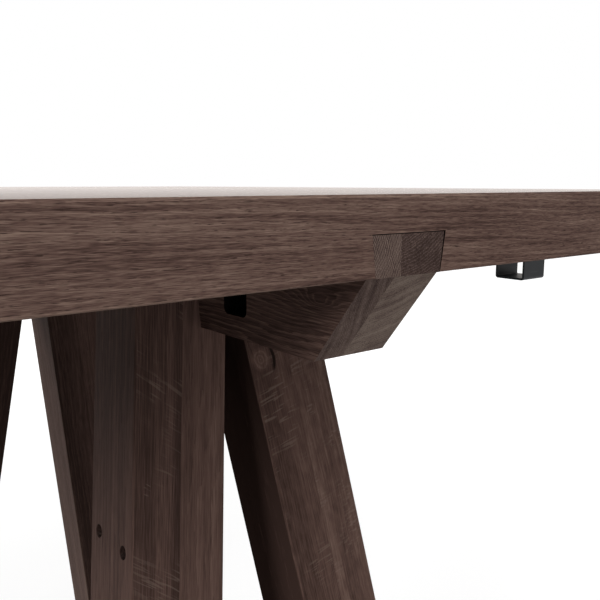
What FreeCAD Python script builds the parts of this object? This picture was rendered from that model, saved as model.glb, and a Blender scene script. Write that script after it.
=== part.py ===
import FreeCAD, Part
import os
import Sketcher

# Trestle dining table: a thick board top on two sawhorse trestles.
# X runs along the table, Y across it from the front edge to the rear, Z up from the floor.
# The origin is on the floor under the middle of the top.

BOARD_COUNT = 7
SIDES = {"left": -1, "right": 1}
ROWS = {"front": -1, "rear": 1}
LEANS = {"inner": -1, "outer": 1}

# Driving sizes in millimetres; the two leans are run over rise.
SIZES = {
    "top_length": 2200.0,
    "board_width": 128.5,
    "top_thick": 46.0,
    "table_height": 740.0,
    "top_ease": 1.5,
    "under_ease": 0.6,
    "trestle_inset": 360.0,
    "batten_width": 58.4,
    "batten_drop": 55.6,
    "thin_layer": 22.6,
    "dove_neck": 52.6,
    "dove_flare": 3.0,
    "dove_depth": 24.0,
    "dove_gap_over": 0.5,
    "dove_gap_close": 0.15,
    "dove_gap_loose": 1.4,
    "dove_gap_neck": 0.5,
    "end_step": 4.0,
    "end_run": 49.0,
    "arm_axis": 136.0,
    "notch_wide": 28.6,
    "notch_deep": 39.8,
    "notch_round": 5.0,
    "leg_wide": 76.0,
    "leg_deep": 71.0,
    "leg_setback": 183.0,
    "leg_gap": 13.6,
    "leg_ease": 1.2,
    "lean_long": 0.139,
    "lean_cross": 0.167,
    "bolt_radius": 3.0,
    "bolt_clearance": 0.3,
    "bolt_from_gap": 12.0,
    "bolt_from_face": 14.7,
    "bolt_grip": 40.0,
    "bolt_tail": 9.0,
    "nut_drop": 153.0,
    "nut_radius": 5.0,
    "nut_length": 14.0,
    "guide_reach": 290.0,
    "guide_length": 33.4,
    "guide_inside": 28.4,
    "guide_deep": 40.5,
    "guide_sheet": 2.0,
    "guide_bend": 0.8,
    "guide_flange": 22.0,
    "guide_screw_radius": 2.0,
    "guide_screw_bite": 20.0,
    "guide_head_radius": 4.2,
    "guide_head_high": 2.6,
    "batten_screw_radius": 3.0,
    "batten_screw_bite": 14.0,
    "batten_head_radius": 6.0,
    "batten_head_high": 4.0,
    "batten_recess": 14.0,
    "screw_clearance": 0.3,
    "glide_radius": 28.0,
    "glide_thick": 3.0,
    "cut_margin": 5.0,
}


class Term:
    """A size that knows its number and the sheet formula behind it."""

    def __init__(self, value, text):
        self.value = value
        self.text = text

    def __add__(self, other):
        other = as_term(other)
        return Term(self.value + other.value, f"({self.text} + {other.text})")

    def __sub__(self, other):
        other = as_term(other)
        return Term(self.value - other.value, f"({self.text} - {other.text})")

    def __mul__(self, other):
        other = as_term(other)
        return Term(self.value * other.value, f"({self.text} * {other.text})")

    def __truediv__(self, other):
        other = as_term(other)
        return Term(self.value / other.value, f"({self.text} / {other.text})")

    def __neg__(self):
        return Term(-self.value, f"(-1 * {self.text})")

    def __radd__(self, other):
        return as_term(other) + self

    def __rsub__(self, other):
        return as_term(other) - self

    def __rmul__(self, other):
        return as_term(other) * self


def as_term(number):
    """A plain number as a Term, so that it can stand in a formula."""
    if isinstance(number, Term):
        return number
    return Term(float(number), f"{number}")


def size(alias):
    """The driving size of that name."""
    return Term(SIZES[alias], f"sizes.{alias}")


doc = FreeCAD.newDocument("trestle_table")
sheet = doc.addObject("Spreadsheet::Sheet", "sizes")
for line, (alias, number) in enumerate(SIZES.items(), start=1):
    sheet.set(f"A{line}", alias)
    sheet.set(f"B{line}", str(number))
    sheet.setAlias(f"B{line}", alias)
doc.recompute()

# Heights and half widths that several pieces share.
top_width = BOARD_COUNT * size("board_width")
half_width = top_width / 2
top_level = size("table_height")
under_level = top_level - size("top_thick")
dove_level = under_level + size("dove_depth")
shoulder_level = under_level - size("batten_drop")
trestle_x = size("top_length") / 2 - size("trestle_inset")
batten_half = size("batten_width") / 2
neck_half = size("dove_neck") / 2
dove_half = neck_half + size("dove_flare")
margin = size("cut_margin")

nodes = {}


def keep(label, item):
    """Names a finished piece and lists it for writing."""
    item.Label = label
    nodes[label] = item
    return item


def new_body(name, x=None, y=None, z=None):
    """An empty body placed by the sheet."""
    body = doc.addObject("PartDesign::Body", name)
    for axis, term in (("x", x), ("y", y), ("z", z)):
        if term is not None:
            body.setExpression(f"Placement.Base.{axis}", as_term(term).text)
    return body


def outline(body, role, corners, offset=None):
    """A closed straight-sided sketch on an origin plane, every corner driven by the sheet."""
    sketch = body.newObject("Sketcher::SketchObject", f"{body.Name}_outline")
    planes = [item for item in body.Origin.OriginFeatures if item.Role == role]
    sketch.AttachmentSupport = [(planes[0], "")]
    sketch.MapMode = "FlatFace"
    if offset is not None:
        sketch.setExpression("AttachmentOffset.Base.z", as_term(offset).text)
    corners = [(as_term(x), as_term(y)) for x, y in corners]
    points = [FreeCAD.Vector(x.value, y.value, 0) for x, y in corners]
    count = len(points)
    for index in range(count):
        sketch.addGeometry(Part.LineSegment(points[index], points[(index + 1) % count]))
    for index in range(count):
        sketch.addConstraint(Sketcher.Constraint("Coincident", index, 2, (index + 1) % count, 1))
    for index, corner in enumerate(corners):
        for kind, term in zip(("DistanceX", "DistanceY"), corner):
            row = sketch.addConstraint(Sketcher.Constraint(kind, -1, 1, index, 1, term.value))
            sketch.setExpression(f"Constraints[{row}]", term.text)
    return sketch


def pad(body, sketch, length, reverse=False):
    """Material from the sketch, along its normal or against it."""
    feature = body.newObject("PartDesign::Pad", f"{body.Name}_pad")
    feature.Profile = sketch
    feature.setExpression("Length", as_term(length).text)
    feature.Reversed = reverse
    doc.recompute()
    return feature


def pocket(body, sketch, reverse=False):
    """A cut from the sketch right through the body, which has to remove something."""
    before = body.Shape.Volume
    feature = body.newObject("PartDesign::Pocket", f"{body.Name}_pocket")
    feature.Profile = sketch
    feature.Type = "ThroughAll"
    feature.Reversed = reverse
    doc.recompute()
    if body.Shape.Volume > before - 1:
        raise RuntimeError(f"{body.Name}: a pocket removes nothing")
    return feature


def edge_names(shape, wanted):
    """Names of the straight edges whose two ends both pass the test."""
    names = []
    for index, edge in enumerate(shape.Edges, start=1):
        ends = [vertex.Point for vertex in edge.Vertexes]
        if len(ends) == 2 and wanted(ends[0], ends[1]):
            names.append(f"Edge{index}")
    return names


def dress(body, kind, amount, wanted):
    """A fillet or chamfer on the body's edges that pass the test."""
    base = body.Tip
    names = edge_names(base.Shape, wanted)
    if not names:
        raise RuntimeError(f"{body.Name}: no edge to dress")
    feature = body.newObject(f"PartDesign::{kind}", f"{body.Name}_{kind}")
    feature.Base = (base, names)
    feature.setExpression("Radius" if kind == "Fillet" else "Size", as_term(amount).text)
    doc.recompute()
    return feature


def near(first, second):
    """True where two lengths agree."""
    return abs(first - second) < 0.01


def place_text(base, turn):
    """Placement formula from a base point and a turn."""
    x, y, z = [as_term(term).text for term in base]
    return f"placement(vector({x}; {y}; {z}); {turn})"


UPRIGHT = "rotation(vector(0; 0; 1); 0 deg)"


def along_x(sign):
    """Turn that lays an upright cylinder along X."""
    return f"rotation(vector(0; 1; 0); {90 * sign} deg)"


def along_leg(side, row):
    """Turn that leans an upright cylinder like the leg on that side of that row."""
    rise = "atan(sqrt(sizes.lean_long ^ 2 + sizes.lean_cross ^ 2))"
    return f"rotation(vector({row} * sizes.lean_cross; {-side} * sizes.lean_long; 0); {rise})"


def shape_cylinder(item, radius, height, base, turn):
    """Drives a cylinder's size and place from the sheet."""
    item.setExpression("Radius", as_term(radius).text)
    item.setExpression("Height", as_term(height).text)
    item.setExpression("Placement", place_text(base, turn))
    return item


def cylinder(radius, height, base, turn=UPRIGHT):
    """A free cylinder."""
    return shape_cylinder(doc.addObject("Part::Cylinder", "round"), radius, height, base, turn)


def bore(body, radius, height, base, turn=UPRIGHT):
    """A round hole in a body, which has to remove something."""
    before = body.Shape.Volume
    feature = body.newObject("PartDesign::SubtractiveCylinder", f"{body.Name}_bore")
    shape_cylinder(feature, radius, height, base, turn)
    doc.recompute()
    if body.Shape.Volume > before - 1:
        raise RuntimeError(f"{body.Name}: a bore removes nothing")
    return feature


def group(name, items):
    """Identical loose pieces held as one node."""
    compound = doc.addObject("Part::Compound", name)
    compound.Links = items
    return compound


def cut(name, base, tool):
    """The base with the tool's volume taken out."""
    feature = doc.addObject("Part::Cut", name)
    feature.Base = base
    feature.Tool = tool
    return feature


def fuse(name, items):
    """Several overlapping solids as one piece."""
    feature = doc.addObject("Part::MultiFuse", name)
    feature.Shapes = items
    return feature


# Where the legs and their bolts run. A drop is measured down from the batten's underside.
# Across the table a leg's outer face starts at the setback and leans out with the drop.

def leg_x(side, offset, drop):
    """X of a line of a leg, offset out from the leg's face at the gap."""
    return side * (size("leg_gap") / 2 + offset + size("lean_long") * drop)


def leg_y(row, offset, drop):
    """Y of a line of a leg, offset in from the leg's outer face."""
    return row * (half_width - size("leg_setback") - offset + size("lean_cross") * drop)


leg_foot_drop = shoulder_level - size("glide_thick")
bolt_end_drop = size("nut_drop") + size("bolt_tail")
slope = Term(
    (1 + SIZES["lean_long"] ** 2 + SIZES["lean_cross"] ** 2) ** 0.5,
    "sqrt(1 + sizes.lean_long ^ 2 + sizes.lean_cross ^ 2)",
)
bolt_lines = (size("bolt_from_face"), size("leg_deep") - size("bolt_from_face"))


def bolt_base(side, row, line, shift=0):
    """Lower end of a leg bolt."""
    return (
        shift + leg_x(side, size("bolt_from_gap"), bolt_end_drop),
        leg_y(row, line, bolt_end_drop),
        shoulder_level - bolt_end_drop,
    )


def nut_base(side, row, line, shift=0):
    """Blind end of a barrel nut's cross hole."""
    inset = size("bolt_from_gap") - size("nut_length") / 2
    return (
        shift + leg_x(side, inset, size("nut_drop")),
        leg_y(row, line, size("nut_drop")),
        shoulder_level - size("nut_drop"),
    )


bolt_length = slope * (bolt_end_drop + size("bolt_grip"))
leg_bore_length = slope * (bolt_end_drop + margin)
nut_hole_length = size("leg_wide") - size("bolt_from_gap") + size("nut_length") / 2 + margin

# Screws that enter the top: two per arm guide and one per batten, with their pilot holes.
guide_half = size("guide_inside") / 2 + size("guide_sheet")
guide_screw_y = guide_half + size("guide_flange") / 2
guide_middle_x = trestle_x + size("guide_reach") + size("guide_length") / 2
batten_screw_x = size("thin_layer") / 2
recess_level = shoulder_level + size("batten_recess")
pilots = []
guide_screws = {"left": [], "right": []}
batten_screws = []
for end, sign in SIDES.items():
    for row in ROWS.values():
        for flange in (-1, 1):
            x = sign * guide_middle_x
            y = row * (half_width - size("arm_axis")) + flange * guide_screw_y
            seat = under_level - size("guide_sheet")
            shank_length = size("guide_sheet") + size("guide_screw_bite")
            head = cylinder(
                size("guide_head_radius"),
                size("guide_head_high"),
                (x, y, seat - size("guide_head_high")),
            )
            shank = cylinder(size("guide_screw_radius"), shank_length, (x, y, seat))
            guide_screws[end].append(fuse("guide_screw", [head, shank]))
            pilots.append(cylinder(size("guide_screw_radius"), shank_length, (x, y, seat)))
    x = sign * (trestle_x + batten_screw_x)
    shank_length = dove_level - recess_level + size("batten_screw_bite")
    head = cylinder(
        size("batten_head_radius"),
        size("batten_head_high"),
        (x, 0, recess_level - size("batten_head_high")),
    )
    shank = cylinder(size("batten_screw_radius"), shank_length, (x, 0, recess_level))
    batten_screws.append(fuse("batten_screw", [head, shank]))
    pilots.append(cylinder(size("batten_screw_radius"), shank_length, (x, 0, recess_level)))
pilot_holes = group("pilot_holes", pilots)

# Top: boards glued edge to edge, each crossed by the two dovetail housings of the battens.
# A batten bears on the side of its housing towards the table's middle, with slack on the other.
length_half = size("top_length") / 2
board_corners = [(-length_half, under_level)]
housing_level = dove_level + size("dove_gap_over")
for sign in SIDES.values():
    middle = sign * trestle_x
    housing = [
        (middle - sign * (neck_half + size("dove_gap_close")), under_level),
        (middle - sign * (dove_half + size("dove_gap_close")), housing_level),
        (middle + sign * (dove_half + size("dove_gap_loose")), housing_level),
        (middle + sign * (neck_half + size("dove_gap_neck")), under_level),
    ]
    board_corners += housing[::sign]
board_corners += [
    (length_half, under_level),
    (length_half, top_level),
    (-length_half, top_level),
]
for index in range(BOARD_COUNT):
    board = new_body(f"board_blank_{index + 1}", y=index * size("board_width") - half_width)
    pad(board, outline(board, "XZ_Plane", board_corners), size("board_width"), reverse=True)
    eased_y = {0: 0.0, BOARD_COUNT - 1: SIZES["board_width"]}.get(index)

    for ease, level in ((size("top_ease"), top_level), (size("under_ease"), under_level)):

        def eased(first, last):
            """Arrises at this level, at the two ends and along the outer edge of the top."""
            if not (near(first.z, level.value) and near(last.z, level.value)):
                return False
            at_end = near(first.x, last.x) and near(abs(first.x), length_half.value)
            along_edge = eased_y is not None and near(first.y, eased_y) and near(last.y, eased_y)
            return at_end or along_edge

        dress(board, "Chamfer", ease, eased)
    keep(f"top_board_{index + 1}", cut("top_board", board, pilot_holes))

# Battens: a thin and a thick layer glued together, dovetailed along the top edge, with the
# ends sloped back under the top and two notches for the sliding arms of an extension leaf.
for end, sign in SIDES.items():
    seam = sign * (size("thin_layer") - batten_half)
    for layer, outer in (("a", -sign), ("b", sign)):
        batten = new_body(f"batten_blank_{end}_{layer}", x=sign * trestle_x)
        corners = [
            (seam, shoulder_level),
            (outer * batten_half, shoulder_level),
            (outer * batten_half, under_level),
            (outer * neck_half, under_level),
            (outer * dove_half, dove_level),
            (seam, dove_level),
        ]
        pad(batten, outline(batten, "XZ_Plane", corners, half_width), top_width, reverse=True)
        beside = -size("batten_width")
        for row in ROWS.values():
            tip = row * (half_width + margin)
            slope_start = row * (half_width - size("end_step"))
            slope_end = row * (half_width - size("end_run"))
            corners = [
                (tip, under_level),
                (slope_start, under_level),
                (slope_end, shoulder_level),
                (slope_end, shoulder_level - margin),
                (tip, shoulder_level - margin),
            ]
            pocket(batten, outline(batten, "YZ_Plane", corners, beside), reverse=True)
            notch_y = row * (half_width - size("arm_axis"))
            notch_half = size("notch_wide") / 2
            sill = under_level - size("notch_deep")
            corners = [
                (notch_y - notch_half, dove_level + margin),
                (notch_y + notch_half, dove_level + margin),
                (notch_y + notch_half, sill),
                (notch_y - notch_half, sill),
            ]
            pocket(batten, outline(batten, "YZ_Plane", corners, beside), reverse=True)

            def sill_corner(first, last):
                """Lower inside corners of this notch."""
                level = near(first.z, sill.value) and near(last.z, sill.value)
                across = near(first.y, last.y)
                return level and across and near(abs(first.y - notch_y.value), notch_half.value)

            dress(batten, "Fillet", size("notch_round"), sill_corner)
        for row in ROWS.values():
            for line in bolt_lines:
                base = bolt_base(outer, row, line)
                bore(batten, size("bolt_radius"), bolt_length, base, along_leg(outer, row))
        if layer == "b":
            base = (sign * batten_screw_x, 0, recess_level)
            through = dove_level - recess_level + margin
            bore(batten, size("batten_screw_radius") + size("screw_clearance"), through, base)
            base = (sign * batten_screw_x, 0, shoulder_level - margin)
            recess_radius = size("batten_head_radius") + size("screw_clearance")
            bore(batten, recess_radius, size("batten_recess") + margin, base)
        keep(f"batten_{end}_{layer}", batten)

# Legs: two staves each, leaning out both ways. The stave next to the batten is shouldered
# under it, and the rest of the leg stands beside the batten up to the top.
for end, sign in SIDES.items():
    for row_name, row in ROWS.items():
        for lean, way in LEANS.items():
            side = sign * way
            for stave, layer in (("a", 0), ("b", 1)):
                leg = new_body(f"leg_{end}_{row_name}_{lean}_{stave}", x=sign * trestle_x)
                inner = layer * size("leg_wide") / 2
                outer = inner + size("leg_wide") / 2
                corners = [
                    (leg_x(side, inner, leg_foot_drop), leg_y(row, 0, leg_foot_drop)),
                    (leg_x(side, outer, leg_foot_drop), leg_y(row, 0, leg_foot_drop)),
                    (leg_x(side, outer, leg_foot_drop), leg_y(row, size("leg_deep"), leg_foot_drop)),
                    (leg_x(side, inner, leg_foot_drop), leg_y(row, size("leg_deep"), leg_foot_drop)),
                ]
                foot = outline(leg, "XY_Plane", corners, size("glide_thick"))
                shaft = pad(leg, foot, under_level - size("glide_thick"))
                shaft.UseCustomVector = True
                shaft.AlongSketchNormal = True
                shaft.setExpression("Direction.x", (-side * size("lean_long")).text)
                shaft.setExpression("Direction.y", (-row * size("lean_cross")).text)
                shaft.setExpression("Direction.z", "1")
                doc.recompute()
                if stave == "a":
                    corners = [
                        (side * batten_half, shoulder_level),
                        (side * batten_half, under_level + margin),
                        (-side * batten_half, under_level + margin),
                        (-side * batten_half, shoulder_level),
                    ]
                    pocket(leg, outline(leg, "XZ_Plane", corners), reverse=row < 0)
                arris = leg_x(side, layer * size("leg_wide"), leg_foot_drop).value

                def free_arris(first, last):
                    """Long edges of the leg on the face away from the stave seam."""
                    low = first if first.z < last.z else last
                    return abs(first.z - last.z) > 100 and near(low.x, arris)

                dress(leg, "Chamfer", size("leg_ease"), free_arris)
                for line in bolt_lines:
                    base = nut_base(side, row, line)
                    bore(leg, size("nut_radius"), nut_hole_length, base, along_x(side))
                    if stave == "a":
                        base = bolt_base(side, row, line)
                        radius = size("bolt_radius") + size("bolt_clearance")
                        bore(leg, radius, leg_bore_length, base, along_leg(side, row))
                keep(leg.Name, leg)

# Leg bolts and barrel nuts: two of each draw every leg up against its batten.
# A round glide under each foot keeps the end grain off the floor.
for end, sign in SIDES.items():
    bolts = []
    nuts = []
    glides = []
    shift = sign * trestle_x
    for row in ROWS.values():
        for side in (-1, 1):
            for line in bolt_lines:
                rod = (size("bolt_radius"), bolt_length, bolt_base(side, row, line, shift))
                bolts.append(cylinder(*rod, along_leg(side, row)))
                barrel = cylinder(
                    size("nut_radius"),
                    size("nut_length"),
                    nut_base(side, row, line, shift),
                    along_x(side),
                )
                nuts.append(cut("barrel_nut", barrel, cylinder(*rod, along_leg(side, row))))
            foot = (
                shift + leg_x(side, size("leg_wide") / 2, leg_foot_drop),
                leg_y(row, size("leg_deep") / 2, leg_foot_drop),
                0,
            )
            glides.append(cylinder(size("glide_radius"), size("glide_thick"), foot))
    keep(f"leg_bolts_{end}", group("leg_bolts", bolts))
    keep(f"barrel_nuts_{end}", group("barrel_nuts", nuts))
    keep(f"foot_glides_{end}", group("foot_glides", glides))

# Arm guides: bent steel straps screwed under the top, in line with the batten notches.
for end, sign in SIDES.items():
    for row_name, row in ROWS.items():
        start = sign * guide_middle_x - size("guide_length") / 2
        axis_y = row * (half_width - size("arm_axis"))
        guide = new_body(f"guide_{end}_{row_name}", start, axis_y, under_level)
        inside = size("guide_inside") / 2
        floor = size("guide_sheet") - size("guide_deep")
        corners = []
        for hand in (-1, 1):
            wing = [
                (hand * (guide_half + size("guide_flange")), 0),
                (hand * inside, 0),
                (hand * inside, floor),
            ]
            corners += wing if hand < 0 else wing[::-1]
        for hand in (1, -1):
            wing = [
                (hand * (guide_half + size("guide_flange")), -size("guide_sheet")),
                (hand * guide_half, -size("guide_sheet")),
                (hand * guide_half, -size("guide_deep")),
            ]
            corners += wing if hand > 0 else wing[::-1]
        pad(guide, outline(guide, "YZ_Plane", corners), size("guide_length"))
        inner_corners = [
            (inside.value, floor.value),
            (guide_half.value, -SIZES["guide_sheet"]),
        ]
        outer_corners = [
            (inside.value, 0.0),
            (guide_half.value, -SIZES["guide_deep"]),
        ]
        rounds = (
            (size("guide_bend"), inner_corners),
            (size("guide_bend") + size("guide_sheet"), outer_corners),
        )
        for amount, places in rounds:

            def bend(first, last):
                """Edges of the strap's bends that get this radius."""
                along = not near(first.x, last.x)
                return along and any(near(abs(first.y), y) and near(first.z, z) for y, z in places)

            dress(guide, "Fillet", amount, bend)
        for flange in (-1, 1):
            base = (size("guide_length") / 2, flange * guide_screw_y, -size("guide_sheet") - margin)
            radius = size("guide_screw_radius") + size("screw_clearance")
            bore(guide, radius, size("guide_sheet") + 2 * margin, base)
        keep(f"guide_{end}_{row_name}", guide)
    keep(f"guide_screws_{end}", group("guide_screws", guide_screws[end]))
keep("batten_screws", group("batten_screws", batten_screws))

# Every object has to be sound before anything is written.
doc.recompute()
for item in doc.Objects:
    if "Invalid" in item.State or "Error" in item.State:
        raise RuntimeError(f"{item.Label}: {item.State}")
for label, item in nodes.items():
    if item.Shape.isNull() or not item.Shape.isValid():
        raise RuntimeError(f"{label}: bad shape")
os.makedirs("parts", exist_ok=True)
for label, item in nodes.items():
    item.Shape.exportStep(f"parts/{label}.step")
print(f"{len(nodes)} pieces written")
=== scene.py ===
import math
from types import SimpleNamespace

import bpy
import numpy as np
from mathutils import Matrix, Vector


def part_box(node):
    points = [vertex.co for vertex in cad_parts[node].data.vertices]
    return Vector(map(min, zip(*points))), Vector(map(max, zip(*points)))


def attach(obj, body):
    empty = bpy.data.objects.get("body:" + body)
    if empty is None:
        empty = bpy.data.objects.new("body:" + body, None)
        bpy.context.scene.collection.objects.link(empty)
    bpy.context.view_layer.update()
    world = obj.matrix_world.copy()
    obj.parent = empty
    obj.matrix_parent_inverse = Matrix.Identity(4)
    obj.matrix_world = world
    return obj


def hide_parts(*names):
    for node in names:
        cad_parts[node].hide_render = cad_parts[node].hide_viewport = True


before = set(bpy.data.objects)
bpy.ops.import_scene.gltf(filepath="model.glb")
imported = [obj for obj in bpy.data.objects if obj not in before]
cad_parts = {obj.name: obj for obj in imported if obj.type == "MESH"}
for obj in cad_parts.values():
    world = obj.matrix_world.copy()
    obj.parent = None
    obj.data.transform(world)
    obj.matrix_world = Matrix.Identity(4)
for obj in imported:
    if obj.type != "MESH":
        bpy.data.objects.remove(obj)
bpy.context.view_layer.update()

# Top: seven boards of dark smoked oak, 46 mm thick, glued edge to edge and oiled.
# Each is its own length of a tree, flat sawn, with arched figure above and straight fine grain on
# its edges. Two dovetail housings for the battens are cut across each board from below.


class Wire:
    """One socket of a shader tree. Sums and products of wires add Math nodes to the tree."""

    NOISE_ROUGHNESS = 0.55
    NOISE_MEAN = 0.5

    def __init__(self, tree, socket=None):
        self.tree = tree
        self.socket = socket

    def node(self, kind, settings=None, sockets=None, output=0):
        """Adds a node of that kind: first its settings, then a value or a link for each socket."""
        made = self.tree.nodes.new(kind)
        for key, value in (settings or {}).items():
            if key == "stops":
                for stop, (place, colour) in enumerate(value):
                    if stop > 1:
                        made.color_ramp.elements.new(place)
                    made.color_ramp.elements[stop].position = place
                    made.color_ramp.elements[stop].color = (*colour, 1.0)
            else:
                setattr(made, key, value)
        for key, value in (sockets or {}).items():
            if isinstance(value, Wire):
                value.feed(made.inputs[key])
            else:
                made.inputs[key].default_value = value
        return Wire(self.tree, made.outputs[output])

    def feed(self, socket):
        """Links this wire to a node's input."""
        self.tree.links.new(self.socket, socket)

    def math(self, operation, *values):
        """A Math node on these values."""
        return self.node("ShaderNodeMath", {"operation": operation}, dict(enumerate(values)))

    def __add__(self, other):
        return self.math("ADD", self, other)

    def __radd__(self, other):
        return self.math("ADD", other, self)

    def __sub__(self, other):
        return self.math("SUBTRACT", self, other)

    def __rsub__(self, other):
        return self.math("SUBTRACT", other, self)

    def __mul__(self, other):
        return self.math("MULTIPLY", self, other)

    def __rmul__(self, other):
        return self.math("MULTIPLY", other, self)

    def __truediv__(self, other):
        return self.math("DIVIDE", self, other)

    def __rtruediv__(self, other):
        return self.math("DIVIDE", other, self)

    def __abs__(self):
        return self.math("ABSOLUTE", self)

    def split(self):
        """The three parts of a vector."""
        return [self.node("ShaderNodeSeparateXYZ", None, {0: self}, axis) for axis in range(3)]

    def noise(self, x, y, z, detail=1.0, output=0):
        """Smooth noise over three lengths, each already divided by its grain size."""
        point = self.node("ShaderNodeCombineXYZ", None, {"X": x, "Y": y, "Z": z})
        sockets = {"Vector": point, "Scale": 1.0, "Detail": detail, "Roughness": self.NOISE_ROUGHNESS}
        return self.node("ShaderNodeTexNoise", None, sockets, output)

    def swing(self, amount):
        """A noise's swing about its mean, times an amount."""
        return (self - self.NOISE_MEAN) * amount

    def step(self, low, high):
        """0 below the low value, 1 above the high one and a smooth rise between them."""
        settings = {"interpolation_type": "SMOOTHSTEP"}
        return self.node("ShaderNodeMapRange", settings, {"Value": self, "From Min": low, "From Max": high})

    def mixed(self, first, second, blend="MIX"):
        """Two colours mixed by this wire. A Mix node has its colours at inputs 6 and 7 and output 2."""
        settings = {"data_type": "RGBA", "blend_type": blend}
        return self.node("ShaderNodeMix", settings, {0: self, 6: first, 7: second}, 2)


def distance(*parts):
    """Length of a line whose parts lie at right angles: the root of the sum of their squares."""
    squares = [part * part for part in parts]
    return parts[0].math("SQRT", sum(squares[1:], squares[0]))


def new_material(name):
    """An empty material with a Principled surface; gives the material, its shader and a first wire."""
    material = bpy.data.materials.new(name)
    material.use_nodes = True
    shader = material.node_tree.nodes["Principled BSDF"]
    return material, shader, Wire(material.node_tree)


# What a length of oak is like where its piece does not choose otherwise. Lengths are in millimetres,
# contrasts and tones are shares of the scale of tones, and u and v are the axes across the grain.
PLAIN_OAK = {
    "lean": (0.0, 0.0),  # slope of the grain against its axis, on u and v
    "seed": 0.0,         # metres along the tree to the piece's middle
    "tone": 0.0,         # paler above 0, darker below
    "end_tone": -0.25,   # the same on end grain
    "side_tone": 0.0,    # painted light and shade on faces that look along u: paler above 0, darker below
    "worn": 0.3,         # how much paler the eased arrises are: partly rubbed wear, partly painted highlight
    "ring": 2.6,         # width of a growth ring
    "bold": 0.22,        # contrast of the rings
    "end_bold": 0.15,    # further contrast of the rings on end grain
    "arched": 0.0,       # share of arched figure on faces that look along v
    "streaky": 0.6,      # contrast of the long streaks
    "fuzz": 1.3,         # contrast of the fibres
    "mottle": 0.0,       # contrast of small clouds
    "dash": 8.0,         # length of a pore
    "fine": 1.0,         # width of pores and fibres against the usual width
    "pore": 0.6,         # darkness of the pores
    "fleck": 0.2,        # strength of the ray flecks
    "rise": 0.5,         # slope of the flecks
    "ladders": (),       # crowds of flecks: level, u, half height and half width of each
    "gloss": 0.015,      # specular level
    "knot": None,        # a knot, as place_knot takes it
    "band": None,        # a stripe: u where it begins, u where it is full, and its tone
    "figured": None,     # a lively stretch: level where it begins, level where it is full, contrast
    "recess": None,      # painted shade on recess walls: half length that holds them, share for walls that look up
    "film": None,        # oil on faces that look up: its roughness and refractive index
}
MILLIMETRES = 1000.0

# A noise of the wood is its mean length along the grain, its width across it and its detail. Other pairs
# of numbers here are the start and the end of a smooth step.
BEND_NOISE = (260.0, 70.0, 2.0)
BEND_SIZE = 16.0


def vein(tree, length, width, detail, output=0):
    """Noise stretched along the grain, with a mean length along it and a mean width across it."""
    return tree.along.noise(tree.along / length, tree.u / width, tree.v / width, detail, output)


def grain_lines(start, wood, middle, grain):
    """Places in a piece, in millimetres from its middle. Level runs along the grain axis, u and v run
    across it, sheared where the grain leans, and along is level plus the piece's place in the tree.
    From_u and from_v lead from the pith, bent by slow noise; radius and angle are their length and way."""
    point = start.node("ShaderNodeTexCoord", output="Object")
    lengths = [(place - mid) * MILLIMETRES for place, mid in zip(point.split(), middle)]
    level = lengths.pop(grain)
    u, v = [across + level * slope for across, slope in zip(lengths, wood.lean)]
    tree = SimpleNamespace(level=level, along=level + wood.seed * MILLIMETRES, u=u, v=v)
    bend = vein(tree, *BEND_NOISE, output=1)
    bend_u, bend_v = [start.node("ShaderNodeSeparateColor", None, {0: bend}, part) for part in (0, 1)]
    tree.from_u = u - wood.pith[0] + bend_u.swing(BEND_SIZE)
    tree.from_v = v - wood.pith[1] + bend_v.swing(BEND_SIZE)
    tree.radius = distance(tree.from_u, tree.from_v)
    tree.angle = start.math("ARCTAN2", tree.from_u, tree.from_v)
    return tree


END_FACE = (0.85, 0.97)
CUT_FACE = (0.4, 0.65)


def face_ways(start, tree, grain):
    """Which way a face looks. U and v are its normal's parts across the grain; end is 1 where it looks
    along the grain, cut is 1 there and on slopes, and outward is 1 where it looks along the radius."""
    parts = start.node("ShaderNodeTexCoord", output="Normal").split()
    squareness = abs(parts.pop(grain))
    face = SimpleNamespace(u=parts[0], v=parts[1])
    face.end = squareness.step(*END_FACE)
    face.cut = squareness.step(*CUT_FACE)
    face.outward = abs((face.u * tree.from_u + face.v * tree.from_v) / tree.radius)
    return face


CORE_EDGE = (1.2, 2.0)
CORE_FULL = 0.25
WHORL_NOISE = (5.0, 5.0, 1.0)
WHORL_TURNS = 1.5
WHORL_BEND = 1.2
WHORL_LATE = (0.3, 0.9)
POCKET_INNER = (2.1, 2.4)
POCKET_OUTER = (2.7, 3.0)
POCKET_SIDE = (1.7, 2.3)


def place_knot(start, knot, tree):
    """A knot at a place on level, u and v. Reach is the distance from it in sizes, shortened along the
    grain by its stretch. It adds lift / (1 + reach squared) years to the rings. Its core has a whorl of
    its own, which shows in full from a pale tone of CORE_FULL up, and bark fills a shell at one side."""
    level, u, v = knot["place"]
    aside = tree.u - u
    reach = distance((tree.level - level) / knot["stretch"], aside, tree.v - v) / knot["size"]
    whorl = reach * WHORL_TURNS + vein(tree, *WHORL_NOISE).swing(WHORL_BEND)
    shell = reach.step(*POCKET_INNER) * (1.0 - reach.step(*POCKET_OUTER))
    core = (1.0 - reach.step(*CORE_EDGE)) * min(1.0, knot["pale"] / CORE_FULL)
    return SimpleNamespace(
        years=knot["lift"] / (1.0 + reach * reach),
        late=start.math("FRACT", whorl).step(*WHORL_LATE),
        core=core,
        tone=core * knot["pale"],
        pocket=shell * (aside / knot["size"]).step(*POCKET_SIDE) * knot["bark"],
    )


DRIFT_DEPTH = 11.0
DRIFT_LENGTH = 900.0
DRIFT_YEARS = 3.0
RAGGED_NOISE = (26.0, 2.6, 2.0)
RAGGED_YEARS = 1.1
EARLY_WOOD = (0.04, 0.45)
LATE_WOOD = (0.5, 0.95)


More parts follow.
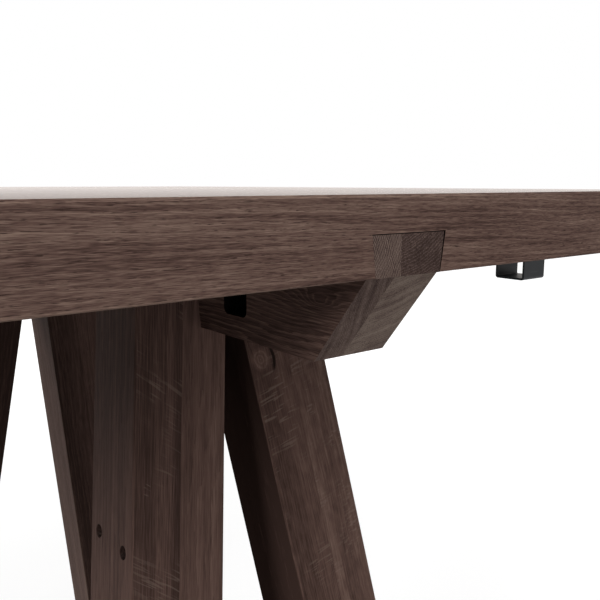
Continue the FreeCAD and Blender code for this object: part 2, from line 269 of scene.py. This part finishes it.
def ring_seasons(start, wood, tree, knot):
    """Early and late wood. Years are the radius over the ring width, with good and bad years and ragged
    lines from noise, and the season is the fraction of a year, early at its start and late at its end."""
    drift = start.noise(tree.radius / DRIFT_DEPTH, tree.along / DRIFT_LENGTH, wood.seed)
    years = tree.radius / wood.ring + drift.swing(DRIFT_YEARS)
    years = years + vein(tree, *RAGGED_NOISE).swing(RAGGED_YEARS)
    if knot:
        years = years + knot.years
    season = start.math("FRACT", years)
    early = 1.0 - season.step(*EARLY_WOOD)
    late = season.step(*LATE_WOOD)
    if knot:
        late = late + (knot.late - late) * knot.core
    return early, late


RAY_THICK = 2.2
RAYS_ROUND = 24.0
RAY_DEEP = 26.0
RAY_EDGE = (0.54, 0.63)
PATCH_LONG = 48.0
PATCHES_ROUND = 2.0
PATCH_DEEP = 40.0
PATCH_EDGE = (0.5, 0.7)
LADDER_EDGE = (0.6, 1.2)
RAY_HIDDEN = (0.35, 0.75)


def ray_flecks(start, wood, tree, face):
    """Rays are thin sheets that point at the pith, from noise over a slanting level, the angle and the
    radius. They show as pale flecks in patches and in placed ladders, on faces that run along the radius."""
    slant = tree.along + tree.radius * wood.rise
    rays = start.noise(slant / RAY_THICK, tree.angle * RAYS_ROUND, tree.radius / RAY_DEEP).step(*RAY_EDGE)
    patches = start.noise(tree.along / PATCH_LONG, tree.angle * PATCHES_ROUND, tree.radius / PATCH_DEEP)
    patches = patches.step(*PATCH_EDGE)
    for level, u, half_height, half_width in wood.ladders:
        away = distance((tree.level - level) / half_height, (tree.u - u) / half_width)
        patches = patches + 1.0 - away.step(*LADDER_EDGE)
    shown = start.math("MINIMUM", patches, 1.0) * (1.0 - face.outward.step(*RAY_HIDDEN))
    return rays * shown * wood.fleck


MIDDLE_TONE = 0.5
STREAK_NOISE = (150.0, 2.8, 3.0)
BROAD_NOISE = (420.0, 18.0, 2.0)
BROAD_CONTRAST = 0.7
CLOUD_NOISE = (15.0, 5.0, 3.0)
LAYER_DEPTH = 4.0
LAYER_LENGTH = 60.0
LAYER_DETAIL = 2.0
LAYER_CONTRAST = 1.3
FLAT_FACE = (0.8, 0.95)
FLAT_STREAKS = 0.6
FLAT_FIBRES = 0.35
FLAT_BOLD = 0.28
SIDE_SHADING_FACE = (0.9, 0.97)
ARRIS = (0.6, 0.9)
ARRIS_PATCHES = (0.3, 0.6)
LATE_MEAN = 0.32
KNOT_BOLD = 0.1
FIGURE_LENGTH = 170.0
FIGURE_WIDE = 7.0
FIGURE_DEEP = 6.0
FIGURE_SLOPE = 0.04
FIGURE_DETAIL = 2.0


def wood_tone(start, wood, tree, face, late, fibre, knot):
    """The tone is the piece's own plus the swings of broad, streak, fibre and cloud noise, plus late wood
    times the contrast of the rings. Flat-sawn faces have bolder rings and calmer streaks. Slopes show
    layers, end grain has its own tone, side faces take painted light and shade, and eased arrises are
    paler in patches, partly rubbed wear and partly a painted highlight."""
    broad = vein(tree, *BROAD_NOISE)
    flat = abs(face.v).step(*FLAT_FACE) * wood.arched
    tone = broad.swing(BROAD_CONTRAST) + (MIDDLE_TONE + wood.tone)
    tone = tone + vein(tree, *STREAK_NOISE).swing(wood.streaky) * (1.0 - flat * FLAT_STREAKS)
    tone = tone + fibre.swing(wood.fuzz) * (1.0 - flat * FLAT_FIBRES)
    layers = start.noise(tree.radius / LAYER_DEPTH, tree.along / LAYER_LENGTH, wood.seed, LAYER_DETAIL)
    tone = tone + layers.swing(LAYER_CONTRAST) * (face.cut - face.end)
    # Painted light and shade: faces that look along u are made paler above 0 and darker below, as each piece
    # chooses.
    tone = tone + abs(face.u).step(*SIDE_SHADING_FACE) * wood.side_tone + face.end * wood.end_tone
    # Eased arrises are paler in patches: partly rubbed wear, partly a painted highlight.
    arris = (abs(face.u) * abs(face.v) * 2.0).step(*ARRIS) * broad.step(*ARRIS_PATCHES)
    tone = tone + arris * wood.worn
    ringed = wood.bold + face.end * wood.end_bold + flat * FLAT_BOLD
    if knot:
        ringed = ringed + knot.core * KNOT_BOLD
        tone = tone + knot.tone
    tone = tone + (late - LATE_MEAN) * ringed
    if wood.mottle:
        tone = tone + vein(tree, *CLOUD_NOISE).swing(wood.mottle)
    if wood.band:
        begins, full, band_tone = wood.band
        tone = tone + tree.u.step(begins, full) * band_tone
    if wood.figured:
        begins, full, contrast = wood.figured
        deep = (tree.v + tree.along * FIGURE_SLOPE) / FIGURE_DEEP
        figure = start.noise(tree.along / FIGURE_LENGTH, tree.u / FIGURE_WIDE, deep, FIGURE_DETAIL)
        tone = tone + figure.swing(contrast) * tree.level.step(begins, full)
    return tone


OILED_TONES = [
    (0.0, (0.036, 0.0212, 0.0175)),
    (1 / 3, (0.104, 0.0625, 0.0515)),
    (2 / 3, (0.185, 0.125, 0.099)),
    (1.0, (0.27, 0.19, 0.15)),
]
PALEST_TONE = 1.5
END_TINT = (0.93, 1.03, 1.08, 1.0)
PORE_COLOUR = (0.028, 0.017, 0.014, 1.0)
FLECK_COLOUR = (0.21, 0.155, 0.128, 1.0)
BARK_COLOUR = (0.012, 0.008, 0.007, 1.0)
RECESS_SHADE_COLOUR = (0.004, 0.003, 0.003, 1.0)
RECESS_SHADE_FADE = 10.0
UPWARD_SHADE_FACE = (0.05, 0.3)
FILM_FACE = (0.5, 0.9)
PORE_WIDTH = 0.7
PORE_DETAIL = 1.0
PORE_EDGE = (0.54, 0.67)
EVEN_PORES = 0.35
FIBRE_STRETCH = 2.0
FIBRE_WIDTH = 0.5
FIBRE_DETAIL = 2.0
FIBRE_HEIGHT = 0.35
GRAIN_RELIEF = {"Strength": 0.35, "Distance": 0.0004}
SATIN_ROUGHNESS = 0.55
PORE_ROUGHER = 0.14
FLECK_SMOOTHER = 0.12
FIBRE_ROUGHER = 0.1


def oak(name, middle, grain, pith, **choice):
    """Solid smoked oak, the same all through a piece that has this middle and its grain along this axis.
    The tone picks a colour from the oiled scale. Cut faces are tinted cooler, and pores, flecks, bark and
    painted shade on the walls of recesses are mixed over it. Pores are dashes along the grain, most of them
    in early wood; they are sunk and rougher. Fibres are fine noise, twice as long as the pores."""
    wood = SimpleNamespace(pith=pith, **{**PLAIN_OAK, **choice})
    material, shader, start = new_material(name)
    tree = grain_lines(start, wood, middle, grain)
    face = face_ways(start, tree, grain)
    knot = place_knot(start, wood.knot, tree) if wood.knot else None
    early, late = ring_seasons(start, wood, tree, knot)
    flecks = ray_flecks(start, wood, tree, face)
    dashes = vein(tree, wood.dash, PORE_WIDTH * wood.fine, PORE_DETAIL).step(*PORE_EDGE)
    pores = dashes * (EVEN_PORES + early * (1.0 - EVEN_PORES))
    fibre = vein(tree, wood.dash * FIBRE_STRETCH, FIBRE_WIDTH * wood.fine, FIBRE_DETAIL)

    tone = wood_tone(start, wood, tree, face, late, fibre, knot)
    colour = start.node("ShaderNodeValToRGB", {"stops": OILED_TONES}, {0: tone / PALEST_TONE})
    colour = face.cut.mixed(colour, END_TINT, "MULTIPLY")
    colour = (pores * wood.pore).mixed(colour, PORE_COLOUR)
    colour = flecks.mixed(colour, FLECK_COLOUR)
    if knot:
        colour = knot.pocket.mixed(colour, BARK_COLOUR)
    # Painted shade: walls that look along the grain inside the piece's length, and faces that look up by the
    # given share, turn near black.
    if wood.recess:
        half_length, upward_shade = wood.recess
        inside = 1.0 - abs(tree.level).step(half_length - RECESS_SHADE_FADE, half_length)
        shade_mask = face.end * inside + face.v.step(*UPWARD_SHADE_FACE) * upward_shade
        colour = start.math("MINIMUM", shade_mask, 1.0).mixed(colour, RECESS_SHADE_COLOUR)
    colour.feed(shader.inputs["Base Color"])

    rough = SATIN_ROUGHNESS + pores * PORE_ROUGHER - flecks * FLECK_SMOOTHER + fibre.swing(FIBRE_ROUGHER)
    rough.feed(shader.inputs["Roughness"])
    relief = start.node("ShaderNodeBump", None, {**GRAIN_RELIEF, "Height": fibre * FIBRE_HEIGHT - pores})
    relief.feed(shader.inputs["Normal"])
    shader.inputs["Specular IOR Level"].default_value = wood.gloss
    if wood.film:
        film_roughness, film_index = wood.film
        face.v.step(*FILM_FACE).feed(shader.inputs["Coat Weight"])
        shader.inputs["Coat Roughness"].default_value = film_roughness
        shader.inputs["Coat IOR"].default_value = film_index
    return material


def dress(node, material):
    """Gives a node of the frame its finish."""
    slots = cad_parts[node].data.materials
    slots.clear()
    slots.append(material)


def middle_of(node):
    """Middle of a node's box."""
    low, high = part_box(node)
    return (low + high) / 2


BOARD_COUNT = 7
# On the boards, recess paints shade on the walls of the dovetail housings; the boards' own ends stay plain.
BOARD_WOOD = {
    "fleck": 0.0, "streaky": 0.95, "worn": 0.2, "dash": 4.5, "fine": 0.6, "pore": 0.8, "fuzz": 1.9,
    "arched": 1.0, "figured": (500.0, 900.0, 1.2), "recess": (1050.0, 0.0), "film": (0.04, 1.003),
}

# Lowest and highest draws for each board. The boards behind the front one differ more in tone.
BOARD_PITHS = ((-40.0, -170.0), (40.0, -90.0))
BOARD_LEANS = ((-0.01, 0.006), (0.01, 0.016))
BOARD_TONES = (-0.05, 0.05)
LATER_BOARDS = 3.6

BOARD_STEP = 3.7
board_rng = np.random.default_rng(4)
for index in range(BOARD_COUNT):
    node = f"top_board_{index + 1}"
    grain = {"seed": index * BOARD_STEP}
    grain["pith"] = tuple(board_rng.uniform(*BOARD_PITHS))
    grain["tone"] = board_rng.uniform(*BOARD_TONES) * (LATER_BOARDS if index else 1.0)
    grain["lean"] = tuple(board_rng.uniform(*BOARD_LEANS))
    dress(node, oak(f"oak_{node}", middle_of(node), 0, **BOARD_WOOD, **grain))

# Battens: a thin and a thick layer of the same oak glued together, one pair under each end.
# Their dovetail slides into the housing across the boards, and its end grain shows at the edge.
# Each is notched twice from above for a sliding arm; painted shade darkens the notches and the housings
# inside.

FIRST_BATTEN = 30.0
BATTEN_STEP = 2.3
BATTEN_WOOD = {"fleck": 0.1, "worn": 0.0, "bold": 0.35, "pore": 0.7, "fuzz": 1.6, "recess": (400.0, 1.0)}
swirl = {"place": (-405.0, -11.0, -2.0), "size": 6.0, "stretch": 2.6, "lift": 5.0, "pale": 0.0, "bark": 0.0}
batten_layers = {
    # batten_right_a: its side face is painted darker, as shade under the top.
    "batten_right_a": {"pith": (-160.0, -65.0), "tone": 0.02, "end_tone": -0.01, "side_tone": -0.2,
                       "ring": 1.2, "end_bold": 0.45, "pore": 0.5, "fuzz": 1.3, "knot": swirl},
    "batten_right_b": {"pith": (-42.0, 107.0), "tone": 0.5, "end_tone": -0.8,
                       "ring": 1.8, "bold": 0.28, "end_bold": 0.05},
    "batten_left_a": {"pith": (-55.0, -50.0), "tone": 0.0, "end_tone": -0.1, "ring": 2.1},
    "batten_left_b": {"pith": (40.0, 80.0), "tone": 0.1, "end_tone": -0.3, "ring": 1.8},
}
for index, (node, choice) in enumerate(batten_layers.items()):
    grain = {**BATTEN_WOOD, "seed": FIRST_BATTEN + index * BATTEN_STEP, **choice}
    dress(node, oak(f"oak_{node}", middle_of(node), 1, **grain))

# Legs: four to a trestle, each glued up from two staves of oak and leaning out both ways.
# The stave next to the batten is shouldered under it; the grain runs down the leaning leg.
# Bolts in the legs' heads draw them up to the batten.

LEAN_LONG = 0.139
LEAN_CROSS = 0.167
STAVE_WOOD = {"worn": 0.05, "bold": 0.12, "dash": 12.0, "pore": 0.4, "fuzz": 1.0, "mottle": 0.15}
CLOUDY_STAVE = {"worn": 0.0, "rise": 0.2, "streaky": 0.35, "fuzz": 0.7}

# Lowest and highest draws of the pith's direction and distance, the place in the tree and the tone.
STAVE_DRAWS = ((0, 60, 0, -0.12), (2 * math.pi, 130, 50, 0.12))

# Staves that show most have their figure chosen one by one.
leg_knot = {"place": (258.0, -12.1, -35.5), "size": 5.0, "stretch": 1.1, "lift": 2.0,
            "pale": 0.3, "bark": 0.95}
chosen_staves = {
    "leg_right_front_inner_a": {"pith": (40.0, 120.0), "tone": -0.06, "fleck": 0.06},
    # leg_right_front_inner_b: its side face is painted a little paler, as light from the left.
    "leg_right_front_inner_b": {"pith": (-95.0, -34.0), "tone": -0.31, "side_tone": 0.1,
                                "band": (8.0, 19.0, -0.16), "fleck": 0.26, "rise": 0.7,
                                "ladders": [(252.0, -4.0, 9.0, 4.5), (182.0, -8.0, 5.0, 3.0)]},
    # leg_right_front_outer_a: its side face is painted darker, as the shadow of the inner leg.
    "leg_right_front_outer_a": {"pith": (105.0, -34.0), "tone": -0.23, "side_tone": -0.4, "gloss": 0.0,
                                **CLOUDY_STAVE, "mottle": 0.6, "fleck": 0.34, "knot": leg_knot,
                                "ladders": [(217.0, -3.0, 40.0, 14.0)]},
    "leg_right_front_outer_b": {"pith": (80.0, -70.0), "tone": -0.06,
                                **CLOUDY_STAVE, "mottle": 0.7, "fleck": 0.35,
                                "ladders": [(227.6, -6.9, 8.0, 7.0), (210.0, -7.0, 6.0, 6.0)]},
    # leg_right_rear_inner_a: its low tone is painted shade, over the whole stave.
    "leg_right_rear_inner_a": {"pith": (-60.0, 90.0), "tone": -0.5, "fleck": 0.1},
    # leg_right_rear_outer_a: its low tone is painted shade on its front face, and its side face is painted
    # paler, as light from the left.
    "leg_right_rear_outer_a": {"pith": (60.0, 90.0), "tone": -0.35, "side_tone": 0.4, "fleck": 0.1},
    # leg_right_rear_inner_b: its high tone is a painted sheen, the grazing light on its side face, over the
    # whole stave; its gloss is real.
    "leg_right_rear_inner_b": {"pith": (30.0, -110.0), "tone": 0.45, "gloss": 0.2, "fleck": 0.1},
}
stave_rng = np.random.default_rng(11)
for end, sign in (("left", -1), ("right", 1)):
    for row_name, row in (("front", -1), ("rear", 1)):
        for lean_name, way in (("inner", -1), ("outer", 1)):
            for stave in "ab":
                node = f"leg_{end}_{row_name}_{lean_name}_{stave}"
                turn, away, seed, tone = stave_rng.uniform(*STAVE_DRAWS)
                grain = {**STAVE_WOOD, "seed": seed, "tone": tone}
                grain["pith"] = (away * math.cos(turn), away * math.sin(turn))
                grain["lean"] = (sign * way * LEAN_LONG, row * LEAN_CROSS)
                grain.update(chosen_staves.get(node, {}))
                dress(node, oak(f"oak_{node}", middle_of(node), 2, **grain))

# Arm guides: four straps of 2 mm steel bent to a channel, black powder coat, screwed under the top.
# The coat is slightly uneven and a little worn where an arm would slide.

PEEL_SIZE = 0.6
PEEL_DETAIL = 2.0
PEEL_RELIEF = {"Strength": 0.15, "Distance": 0.0002}
GLOSS_PATCH = 14.0
GLOSS_DETAIL = 2.0
GLOSS_SHIFT = 0.18
GLOSS_TINT = 0.2
RUB_LENGTH = 22.0
RUB_WIDTH = 3.0
RUB_DETAIL = 3.0
RUB_EDGE = (0.6, 0.75)
RUB_TINT = 0.5
RUB_SMOOTHER = 0.08
COAT_GLOSS = 0.16


def dark_finish(name, colour, worn_colour, roughness):
    """A dark coat or moulded plastic: orange-peel relief from fine noise, slow shifts of gloss from broad
    noise, and faint patches rubbed paler and smoother along the table, from noise stretched that way."""
    material, shader, start = new_material(name)
    point = start.node("ShaderNodeTexCoord", output="Object")
    x, y, z = [part * MILLIMETRES for part in point.split()]
    peel = start.noise(x / PEEL_SIZE, y / PEEL_SIZE, z / PEEL_SIZE, PEEL_DETAIL)
    patches = start.noise(x / GLOSS_PATCH, y / GLOSS_PATCH, z / GLOSS_PATCH, GLOSS_DETAIL)
    rubbed = start.noise(x / RUB_LENGTH, y / RUB_WIDTH, z / RUB_WIDTH, RUB_DETAIL).step(*RUB_EDGE)
    tint = (rubbed * RUB_TINT + patches * GLOSS_TINT).mixed((*colour, 1.0), (*worn_colour, 1.0))
    tint.feed(shader.inputs["Base Color"])
    rough = roughness + patches.swing(GLOSS_SHIFT) - rubbed * RUB_SMOOTHER
    rough.feed(shader.inputs["Roughness"])
    start.node("ShaderNodeBump", None, {**PEEL_RELIEF, "Height": peel}).feed(shader.inputs["Normal"])
    shader.inputs["Specular IOR Level"].default_value = COAT_GLOSS
    return material


COAT_COLOUR = (0.011, 0.0135, 0.0165)
COAT_WORN = (0.028, 0.032, 0.037)
COAT_ROUGHNESS = 0.42
black_coat = dark_finish("black_coat", COAT_COLOUR, COAT_WORN, COAT_ROUGHNESS)
for end in ("left", "right"):
    for row_name in ("front", "rear"):
        dress(f"guide_{end}_{row_name}", black_coat)

# Fasteners: blackened steel. Bolts and barrel nuts draw the legs up to the battens, deep in their bores.
# Screws hold the guides and battens to the boards, each with a rounded head and a hexagon socket.

TURNED_SIDES = 48
HEXAGON_SIDE = math.pi / 3
SHARP_DEGREES = 35.0


def turned(name, node, profile, axes, material):
    """Stands for a node with one surface turned about each upright axis. The profile's rows are radius,
    height and hexagon share, from the lower pole to the upper one. A ring point at an angle is its radius
    times 1, or 1 / cos(angle to the nearest flat's middle) where the hexagon share is 1."""
    angle = np.arange(TURNED_SIDES) * 2 * math.pi / TURNED_SIDES
    from_flat = np.mod(angle + HEXAGON_SIDE / 2, HEXAGON_SIDE) - HEXAGON_SIDE / 2
    radius, height, hexagon = (column[:, None] for column in np.asarray(profile)[1:-1].T)
    reach = radius * (1 + hexagon * (1 / np.cos(from_flat) - 1))
    rings = np.stack([reach * np.cos(angle), reach * np.sin(angle), height + 0 * reach], axis=2)
    poles = [(0.0, 0.0, profile[pole][1]) for pole in (0, -1)]
    points = np.vstack([rings.reshape(-1, 3), poles])
    places = np.column_stack([axes, np.zeros(len(axes))])
    grid = np.arange(rings.shape[0] * TURNED_SIDES).reshape(-1, TURNED_SIDES)
    beside = np.roll(grid, -1, axis=1)
    quads = np.stack([grid[:-1], beside[:-1], beside[1:], grid[1:]], axis=2).reshape(-1, 4)
    lower = np.column_stack([np.full(TURNED_SIDES, grid.size), beside[0], grid[0]])
    upper = np.column_stack([np.full(TURNED_SIDES, grid.size + 1), grid[-1], beside[-1]])
    firsts = (np.arange(len(axes)) * len(points))[:, None, None]
    faces = (quads + firsts).reshape(-1, 4).tolist()
    faces += (np.vstack([lower, upper]) + firsts).reshape(-1, 3).tolist()
    mesh = bpy.data.meshes.new(name)
    mesh.from_pydata((points + places[:, None, :]).reshape(-1, 3).tolist(), [], faces)
    mesh.shade_smooth()
    mesh.set_sharp_from_angle(angle=math.radians(SHARP_DEGREES))
    mesh.materials.append(material)
    piece = bpy.data.objects.new(name, mesh)
    bpy.context.scene.collection.objects.link(piece)
    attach(piece, "root")
    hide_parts(node)


QUARTER_TURN = np.linspace(0.0, math.pi / 2, 7)
SOCKET_SHARE = 0.32
SOCKET_DEPTH = 0.6
FLAT_SHARE = 0.55
DOME_SHARE = 0.7
TIP_LENGTH = 2


def screw_profile(head_radius, head_height, shank_radius, lowest, highest):
    """Rows from the floor of the hexagon socket, out over the head and up the shank to the tip. The head's
    dome is a quarter of an ellipse, from a flat share of the radius out and a share of the height up."""
    socket = SOCKET_SHARE * head_radius
    socket_top = lowest + SOCKET_DEPTH * head_height
    dome_radius = head_radius * (FLAT_SHARE + (1 - FLAT_SHARE) * np.sin(QUARTER_TURN))
    dome_height = lowest + DOME_SHARE * head_height * (1 - np.cos(QUARTER_TURN))
    seat = lowest + head_height
    hexagon = [(0.0, socket_top, 1.0), (socket, socket_top, 1.0), (socket, lowest, 1.0)]
    dome = np.column_stack([dome_radius, dome_height, 0 * QUARTER_TURN])
    shank = [(head_radius, seat, 0.0), (shank_radius, seat, 0.0),
             (shank_radius, highest - TIP_LENGTH * shank_radius, 0.0), (0.0, highest, 0.0)]
    return np.vstack([hexagon, dome, shank])


STEEL_COLOUR = (0.030, 0.030, 0.032)
STEEL_WORN = (0.10, 0.10, 0.105)
STEEL_ROUGHNESS = 0.38
GUIDE_HEAD = 0.0026
GUIDE_SHANK = 0.0020
BATTEN_HEAD_RADIUS = 0.006
BATTEN_HEAD = 0.0040
BATTEN_SHANK = 0.0030
blackened = dark_finish("blackened_steel", STEEL_COLOUR, STEEL_WORN, STEEL_ROUGHNESS)
for end in ("left", "right"):
    for kind in ("leg_bolts", "barrel_nuts"):
        dress(f"{kind}_{end}", blackened)
    node = f"guide_screws_{end}"
    low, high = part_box(node)
    head_radius = (high[0] - low[0]) / 2
    screw_axes = []
    for row_name in ("front", "rear"):
        guide = middle_of(f"guide_{end}_{row_name}")
        aside = high[1] - head_radius - abs(guide[1])
        screw_axes += [(guide[0], guide[1] - aside), (guide[0], guide[1] + aside)]
    profile = screw_profile(head_radius, GUIDE_HEAD, GUIDE_SHANK, low[2], high[2])
    turned(f"turned_{node}", node, profile, screw_axes, blackened)
low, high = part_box("batten_screws")
profile = screw_profile(BATTEN_HEAD_RADIUS, BATTEN_HEAD, BATTEN_SHANK, low[2], high[2])
screw_axes = [(low[0] + BATTEN_HEAD_RADIUS, 0.0), (high[0] - BATTEN_HEAD_RADIUS, 0.0)]
turned("turned_batten_screws", "batten_screws", profile, screw_axes, blackened)

# Foot glides: a round of dark plastic under each leg that keeps its end grain off the floor.
# Each is moulded with a rounded rim and a small well for the nail that holds it.

GLIDE_RADIUS = 0.028
RIM_SHARE = 0.7
NAIL_WELL = 0.0035
WELL_FLARE = 1.1
WELL_DEPTH = 0.5
GLIDE_COLOUR = (0.022, 0.020, 0.019)
GLIDE_WORN = (0.035, 0.032, 0.030)
GLIDE_ROUGHNESS = 0.55
glide_plastic = dark_finish("glide_plastic", GLIDE_COLOUR, GLIDE_WORN, GLIDE_ROUGHNESS)
for end in ("left", "right"):
    node = f"foot_glides_{end}"
    low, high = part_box(node)
    thick = high[2] - low[2]
    well_top = thick * WELL_DEPTH
    well = [(0.0, well_top, 0.0), (NAIL_WELL, well_top, 0.0), (NAIL_WELL * WELL_FLARE, 0.0, 0.0)]
    rim_size = thick * RIM_SHARE
    rim_radius = GLIDE_RADIUS - rim_size * (1 - np.sin(QUARTER_TURN))
    rim_height = rim_size * (1 - np.cos(QUARTER_TURN))
    rim = np.column_stack([rim_radius, rim_height, 0 * QUARTER_TURN])
    profile = np.vstack([well, rim, [(GLIDE_RADIUS, thick, 0.0), (0.0, thick, 0.0)]])
    middles = [[edges[0] + GLIDE_RADIUS, edges[1] - GLIDE_RADIUS] for edges in zip(low[:2], high[:2])]
    glide_axes = [(x, y) for x in middles[0] for y in middles[1]]
    turned(f"turned_{node}", node, profile, glide_axes, glide_plastic)

# Floor: a plain pale studio floor, which takes the table's shadow and glows to white for the camera,
# more so with the distance from the table. From below it is clear.

FLOOR_HALF = 9.0
FLOOR_COLOUR = (0.25, 0.25, 0.25, 1.0)
FLOOR_ROUGHNESS = 0.9
NEAR_GLOW = (0.80, 0.80, 0.80, 1.0)
FAR_GLOW = (1.0, 1.0, 1.0, 1.0)
GLOW_RISE = (1.5, 3.2)


def background_ray(start):
    """1 for rays that look at the background, straight, in a reflection or through glass, else 0."""
    kinds = ("Is Camera Ray", "Is Glossy Ray", "Is Transmission Ray")
    straight, reflected, refracted = [start.node("ShaderNodeLightPath", output=kind) for kind in kinds]
    return start.math("MAXIMUM", start.math("MAXIMUM", straight, reflected), refracted)


floor_mesh = bpy.data.meshes.new("floor")
corner = np.array([(-1, -1), (1, -1), (1, 1), (-1, 1)], float) * FLOOR_HALF
floor_mesh.from_pydata(np.column_stack([corner, np.zeros(4)]).tolist(), [], [(0, 1, 2, 3)])
floor = bpy.data.objects.new("floor", floor_mesh)
bpy.context.scene.collection.objects.link(floor)
floor_paint, floor_shader, floor_start = new_material("floor_paint")
floor_shader.inputs["Base Color"].default_value = FLOOR_COLOUR
floor_shader.inputs["Roughness"].default_value = FLOOR_ROUGHNESS
lit = Wire(floor_start.tree, floor_shader.outputs[0])
floor_point = floor_start.node("ShaderNodeTexCoord", output="Object")
away = floor_start.node("ShaderNodeVectorMath", {"operation": "LENGTH"}, {0: floor_point}, "Value")
glow_colour = away.step(*GLOW_RISE).mixed(NEAR_GLOW, FAR_GLOW)
glow = floor_start.node("ShaderNodeEmission", None, {"Color": glow_colour, "Strength": 1.0})
bright = floor_start.node("ShaderNodeAddShader", None, {0: lit, 1: glow})
looked_at = background_ray(floor_start)
upper_side = floor_start.node("ShaderNodeMixShader", None, {0: looked_at, 1: lit, 2: bright})
below = floor_start.node("ShaderNodeNewGeometry", output="Backfacing")
clear = floor_start.node("ShaderNodeBsdfTransparent")
one_sided = floor_start.node("ShaderNodeMixShader", None, {0: below, 1: upper_side, 2: clear})
one_sided.feed(floor_start.tree.nodes["Material Output"].inputs["Surface"])
floor_mesh.materials.append(floor_paint)

# Light: one strong soft lamp far to the left, weaker ones in front, low down, behind, to the right and
# above, and a dim even sky. The sky looks white, and slightly warm in reflections, where no lamp shows.

SKY_STRENGTH = 0.08
SKY_COLOUR = (1.0, 1.0, 1.0, 1.0)
REFLECTED_SKY = (1.0, 0.95, 0.915, 1.0)
RIGHT_LEGS = (0.7, -0.2, 0.55)


def soft_lamp(name, place, target, width, power):
    """A square area lamp at a place, facing a target."""
    data = bpy.data.lights.new(name, "AREA")
    data.size = width
    data.energy = power
    lamp = bpy.data.objects.new(name, data)
    lamp.location = place
    lamp.visible_glossy = False
    aim = np.subtract(target, place)
    lamp.rotation_euler = (math.atan2(math.hypot(aim[0], aim[1]), -aim[2]), 0, math.atan2(-aim[0], aim[1]))
    bpy.context.scene.collection.objects.link(lamp)


soft_lamp("left_lamp", place=(-5.9, -2.2, 3.45), target=RIGHT_LEGS, width=3.2, power=815.0)
soft_lamp("front_lamp", place=(0.2, -2.6, 2.4), target=RIGHT_LEGS, width=2.6, power=14.0)
soft_lamp("low_lamp", place=(0.7, -3.2, 0.3), target=RIGHT_LEGS, width=1.2, power=28.0)
soft_lamp("rear_lamp", place=(-1.4, 3.2, 2.0), target=(0.2, 0.2, 0.55), width=2.0, power=100.0)
soft_lamp("right_lamp", place=(3.6, 0.4, 1.8), target=(0.7, 0.0, 0.55), width=1.6, power=40.0)
soft_lamp("top_lamp", place=(0.3, 0.4, 3.6), target=(0.3, 0.0, 0.7), width=3.0, power=12.0)
world = bpy.data.worlds.new("studio")
world.use_nodes = True
bpy.context.scene.world = world
sky = Wire(world.node_tree)
backdrop = world.node_tree.nodes["Background"]
strength = SKY_STRENGTH + background_ray(sky) * (1.0 - SKY_STRENGTH)
strength.feed(backdrop.inputs["Strength"])
reflected = sky.node("ShaderNodeLightPath", output="Is Glossy Ray")
reflected.mixed(SKY_COLOUR, REFLECTED_SKY).feed(backdrop.inputs["Color"])

# Camera: close to the front edge beside the right trestle, level with the top and looking in under it.
# Its lens, place and turn are those at which the table's straight edges fall as in the photograph.

CAMERA_PLACE = (0.4405, -0.7265, 0.7460)
PITCH_DOWN = 9.322
YAW_RIGHT = 38.508
SENSOR_WIDTH = 36.0
FOCAL_LENGTH = 42.77
NEAREST = 0.01
camera_data = bpy.data.cameras.new("camera")
camera_data.sensor_width = SENSOR_WIDTH
camera_data.lens = FOCAL_LENGTH
camera_data.clip_start = NEAREST
camera = bpy.data.objects.new("camera", camera_data)
camera.location = CAMERA_PLACE
camera.rotation_euler = (math.radians(90.0 - PITCH_DOWN), 0.0, math.radians(-YAW_RIGHT))
bpy.context.scene.collection.objects.link(camera)
bpy.context.scene.camera = camera
bpy.context.scene.view_settings.view_transform = "Standard"
